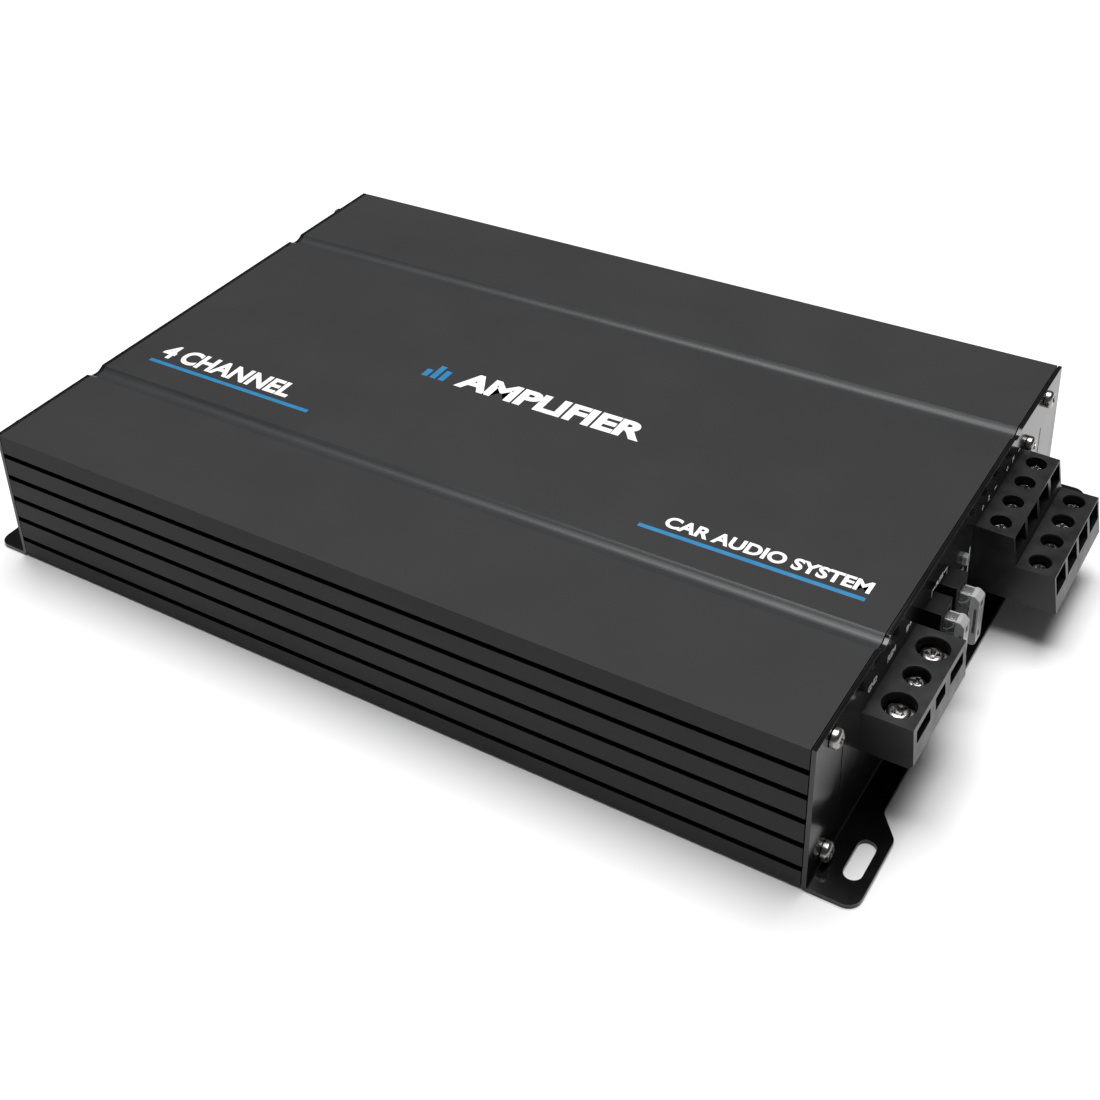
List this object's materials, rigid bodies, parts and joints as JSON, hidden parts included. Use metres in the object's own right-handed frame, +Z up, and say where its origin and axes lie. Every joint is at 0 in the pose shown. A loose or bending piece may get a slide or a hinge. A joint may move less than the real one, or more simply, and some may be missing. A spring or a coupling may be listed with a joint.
{
  "type": "car audio amplifier",
  "caption": "Low rectangular car amplifier with a finned case, slotted feet, screw clamp terminals, blade fuses and phono inputs.",
  "frame": {"origin": "middle of the footprint, on the plane the feet stand on", "axes": "+X along the case towards the power and speaker terminals, +Y across the case, +Z up out of the feet"},
  "size_m": [0.352, 0.2164, 0.0522],
  "materials": {
    "case_aluminium": "fine matte black anodised",
    "plate_steel": "satin black paint",
    "screw_steel": "bright nickel plate",
    "terminal_plastic": "moulded, fine grain",
    "terminal_metal": "tin plated",
    "fuse_plastic": "clear moulded",
    "fuse_metal": "zinc sheet",
    "holder_plastic": "moulded",
    "lamp_lens": "milky lens",
    "socket_metal": "gold plated",
    "knob_plastic": "moulded",
    "board_laminate": "green solder mask",
    "core_winding": "enamelled copper over a ferrite core",
    "capacitor_sleeve": "printed sleeve"
  },
  "bodies": {
    "amplifier": {"case_extrusion": "case_aluminium", "bottom_cover": "plate_steel", "terminal_end_plate": "plate_steel", "input_end_plate": "plate_steel", "terminal_plate_screw_low_near": "screw_steel", "terminal_plate_screw_low_far": "screw_steel", "terminal_plate_screw_top_near": "screw_steel", "terminal_plate_screw_top_far": "screw_steel", "terminal_plate_screw_rib": "screw_steel", "input_plate_screw_low_near": "screw_steel", "input_plate_screw_low_far": "screw_steel", "input_plate_screw_top_near": "screw_steel", "input_plate_screw_top_far": "screw_steel", "circuit_board": "board_laminate", "power_terminal_block": "terminal_plastic", "speaker_terminal_block": "terminal_plastic", "fuse_holder_near": "holder_plastic", "fuse_holder_far": "holder_plastic", "power_lamp": "lamp_lens", "phono_housing": "terminal_plastic", "phono_socket_1_low": "socket_metal", "phono_socket_1_high": "socket_metal", "phono_socket_2_low": "socket_metal", "phono_socket_2_high": "socket_metal", "control_block": "knob_plastic", "toroid_transformer": "core_winding", "capacitor_near": "capacitor_sleeve", "capacitor_far": "capacitor_sleeve"},
    "power_screw_ground": {"power_screw_ground": "screw_steel"},
    "power_clamp_ground": {"power_clamp_ground": "terminal_metal"},
    "power_screw_remote": {"power_screw_remote": "screw_steel"},
    "power_clamp_remote": {"power_clamp_remote": "terminal_metal"},
    "power_screw_battery": {"power_screw_battery": "screw_steel"},
    "power_clamp_battery": {"power_clamp_battery": "terminal_metal"},
    "speaker_screw_upper_1": {"speaker_screw_upper_1": "screw_steel"},
    "speaker_clamp_upper_1": {"speaker_clamp_upper_1": "terminal_metal"},
    "speaker_screw_upper_2": {"speaker_screw_upper_2": "screw_steel"},
    "speaker_clamp_upper_2": {"speaker_clamp_upper_2": "terminal_metal"},
    "speaker_screw_upper_3": {"speaker_screw_upper_3": "screw_steel"},
    "speaker_clamp_upper_3": {"speaker_clamp_upper_3": "terminal_metal"},
    "speaker_screw_upper_4": {"speaker_screw_upper_4": "screw_steel"},
    "speaker_clamp_upper_4": {"speaker_clamp_upper_4": "terminal_metal"},
    "speaker_screw_lower_1": {"speaker_screw_lower_1": "screw_steel"},
    "speaker_clamp_lower_1": {"speaker_clamp_lower_1": "terminal_metal"},
    "speaker_screw_lower_2": {"speaker_screw_lower_2": "screw_steel"},
    "speaker_clamp_lower_2": {"speaker_clamp_lower_2": "terminal_metal"},
    "speaker_screw_lower_3": {"speaker_screw_lower_3": "screw_steel"},
    "speaker_clamp_lower_3": {"speaker_clamp_lower_3": "terminal_metal"},
    "speaker_screw_lower_4": {"speaker_screw_lower_4": "screw_steel"},
    "speaker_clamp_lower_4": {"speaker_clamp_lower_4": "terminal_metal"},
    "fuse_near": {"fuse_body_near": "fuse_plastic", "fuse_element_near": "fuse_metal"},
    "fuse_far": {"fuse_body_far": "fuse_plastic", "fuse_element_far": "fuse_metal"},
    "front_gain_knob": {"front_gain_knob": "knob_plastic"},
    "rear_gain_knob": {"rear_gain_knob": "knob_plastic"},
    "crossover_knob": {"crossover_knob": "knob_plastic"},
    "front_filter_switch": {"front_filter_switch": "terminal_plastic"},
    "rear_filter_switch": {"rear_filter_switch": "terminal_plastic"}
  },
  "joints": [
    {"name": "power_clamp_ground_press", "type": "slide", "parent": "amplifier", "child": "power_clamp_ground", "axis": [0, 0, -1], "range_m": [-0.0015, 0.0015]},
    {"name": "power_screw_ground_turn", "type": "hinge", "parent": "power_clamp_ground", "child": "power_screw_ground", "pos_m": [0.1551, -0.0661, 0.03], "axis": [0, 0, -1], "range_deg": [-1080, 1080]},
    {"name": "power_clamp_remote_press", "type": "slide", "parent": "amplifier", "child": "power_clamp_remote", "axis": [0, 0, -1], "range_m": [-0.0015, 0.0015]},
    {"name": "power_screw_remote_turn", "type": "hinge", "parent": "power_clamp_remote", "child": "power_screw_remote", "pos_m": [0.1551, -0.0528, 0.03], "axis": [0, 0, -1], "range_deg": [-1080, 1080]},
    {"name": "power_clamp_battery_press", "type": "slide", "parent": "amplifier", "child": "power_clamp_battery", "axis": [0, 0, -1], "range_m": [-0.0015, 0.0015]},
    {"name": "power_screw_battery_turn", "type": "hinge", "parent": "power_clamp_battery", "child": "power_screw_battery", "pos_m": [0.1551, -0.0396, 0.03], "axis": [0, 0, -1], "range_deg": [-1080, 1080]},
    {"name": "speaker_clamp_upper_1_press", "type": "slide", "parent": "amplifier", "child": "speaker_clamp_upper_1", "axis": [0, 0, -1], "range_m": [-0.001, 0.002]},
    {"name": "speaker_screw_upper_1_turn", "type": "hinge", "parent": "speaker_clamp_upper_1", "child": "speaker_screw_upper_1", "pos_m": [0.1535, 0.02513, 0.03], "axis": [0, 0, -1], "range_deg": [-720, 1440]},
    {"name": "speaker_clamp_upper_2_press", "type": "slide", "parent": "amplifier", "child": "speaker_clamp_upper_2", "axis": [0, 0, -1], "range_m": [-0.001, 0.002]},
    {"name": "speaker_screw_upper_2_turn", "type": "hinge", "parent": "speaker_clamp_upper_2", "child": "speaker_screw_upper_2", "pos_m": [0.1535, 0.03717, 0.03], "axis": [0, 0, -1], "range_deg": [-720, 1440]},
    {"name": "speaker_clamp_upper_3_press", "type": "slide", "parent": "amplifier", "child": "speaker_clamp_upper_3", "axis": [0, 0, -1], "range_m": [-0.001, 0.002]},
    {"name": "speaker_screw_upper_3_turn", "type": "hinge", "parent": "speaker_clamp_upper_3", "child": "speaker_screw_upper_3", "pos_m": [0.1535, 0.04922, 0.03], "axis": [0, 0, -1], "range_deg": [-720, 1440]},
    {"name": "speaker_clamp_upper_4_press", "type": "slide", "parent": "amplifier", "child": "speaker_clamp_upper_4", "axis": [0, 0, -1], "range_m": [-0.001, 0.002]},
    {"name": "speaker_screw_upper_4_turn", "type": "hinge", "parent": "speaker_clamp_upper_4", "child": "speaker_screw_upper_4", "pos_m": [0.1535, 0.06128, 0.03], "axis": [0, 0, -1], "range_deg": [-720, 1440]},
    {"name": "speaker_clamp_lower_1_press", "type": "slide", "parent": "amplifier", "child": "speaker_clamp_lower_1", "axis": [0, 0, -1], "range_m": [-0.001, 0.002]},
    {"name": "speaker_screw_lower_1_turn", "type": "hinge", "parent": "speaker_clamp_lower_1", "child": "speaker_screw_lower_1", "pos_m": [0.1674, 0.02513, 0.03], "axis": [0, 0, -1], "range_deg": [-720, 1440]},
    {"name": "speaker_clamp_lower_2_press", "type": "slide", "parent": "amplifier", "child": "speaker_clamp_lower_2", "axis": [0, 0, -1], "range_m": [-0.001, 0.002]},
    {"name": "speaker_screw_lower_2_turn", "type": "hinge", "parent": "speaker_clamp_lower_2", "child": "speaker_screw_lower_2", "pos_m": [0.1674, 0.03717, 0.03], "axis": [0, 0, -1], "range_deg": [-720, 1440]},
    {"name": "speaker_clamp_lower_3_press", "type": "slide", "parent": "amplifier", "child": "speaker_clamp_lower_3", "axis": [0, 0, -1], "range_m": [-0.001, 0.002]},
    {"name": "speaker_screw_lower_3_turn", "type": "hinge", "parent": "speaker_clamp_lower_3", "child": "speaker_screw_lower_3", "pos_m": [0.1674, 0.04922, 0.03], "axis": [0, 0, -1], "range_deg": [-720, 1440]},
    {"name": "speaker_clamp_lower_4_press", "type": "slide", "parent": "amplifier", "child": "speaker_clamp_lower_4", "axis": [0, 0, -1], "range_m": [-0.001, 0.002]},
    {"name": "speaker_screw_lower_4_turn", "type": "hinge", "parent": "speaker_clamp_lower_4", "child": "speaker_screw_lower_4", "pos_m": [0.1674, 0.06128, 0.03], "axis": [0, 0, -1], "range_deg": [-720, 1440]},
    {"name": "fuse_near_pull", "type": "slide", "parent": "amplifier", "child": "fuse_near", "axis": [1, 0, 0], "range_m": [0, 0.011]},
    {"name": "fuse_far_pull", "type": "slide", "parent": "amplifier", "child": "fuse_far", "axis": [1, 0, 0], "range_m": [0, 0.011]},
    {"name": "front_gain_turn", "type": "hinge", "parent": "amplifier", "child": "front_gain_knob", "pos_m": [-0.1652, -0.022, 0.031], "axis": [1, 0, 0], "range_deg": [-140, 140]},
    {"name": "rear_gain_turn", "type": "hinge", "parent": "amplifier", "child": "rear_gain_knob", "pos_m": [-0.1652, 0, 0.031], "axis": [1, 0, 0], "range_deg": [-140, 140]},
    {"name": "crossover_turn", "type": "hinge", "parent": "amplifier", "child": "crossover_knob", "pos_m": [-0.1652, 0.022, 0.031], "axis": [1, 0, 0], "range_deg": [-140, 140]},
    {"name": "front_filter_slide", "type": "slide", "parent": "amplifier", "child": "front_filter_switch", "axis": [0, 1, 0], "range_m": [0, 0.004]},
    {"name": "rear_filter_slide", "type": "slide", "parent": "amplifier", "child": "rear_filter_switch", "axis": [0, 1, 0], "range_m": [0, 0.004]}
  ],
  "couplings": [
    {"joint": "power_screw_ground_turn", "follows": "power_clamp_ground_press", "rad_per_m": 12566},
    {"joint": "power_screw_remote_turn", "follows": "power_clamp_remote_press", "rad_per_m": 12566},
    {"joint": "power_screw_battery_turn", "follows": "power_clamp_battery_press", "rad_per_m": 12566},
    {"joint": "speaker_screw_upper_1_turn", "follows": "speaker_clamp_upper_1_press", "rad_per_m": 12566},
    {"joint": "speaker_screw_upper_2_turn", "follows": "speaker_clamp_upper_2_press", "rad_per_m": 12566},
    {"joint": "speaker_screw_upper_3_turn", "follows": "speaker_clamp_upper_3_press", "rad_per_m": 12566},
    {"joint": "speaker_screw_upper_4_turn", "follows": "speaker_clamp_upper_4_press", "rad_per_m": 12566},
    {"joint": "speaker_screw_lower_1_turn", "follows": "speaker_clamp_lower_1_press", "rad_per_m": 12566},
    {"joint": "speaker_screw_lower_2_turn", "follows": "speaker_clamp_lower_2_press", "rad_per_m": 12566},
    {"joint": "speaker_screw_lower_3_turn", "follows": "speaker_clamp_lower_3_press", "rad_per_m": 12566},
    {"joint": "speaker_screw_lower_4_turn", "follows": "speaker_clamp_lower_4_press", "rad_per_m": 12566}
  ]
}
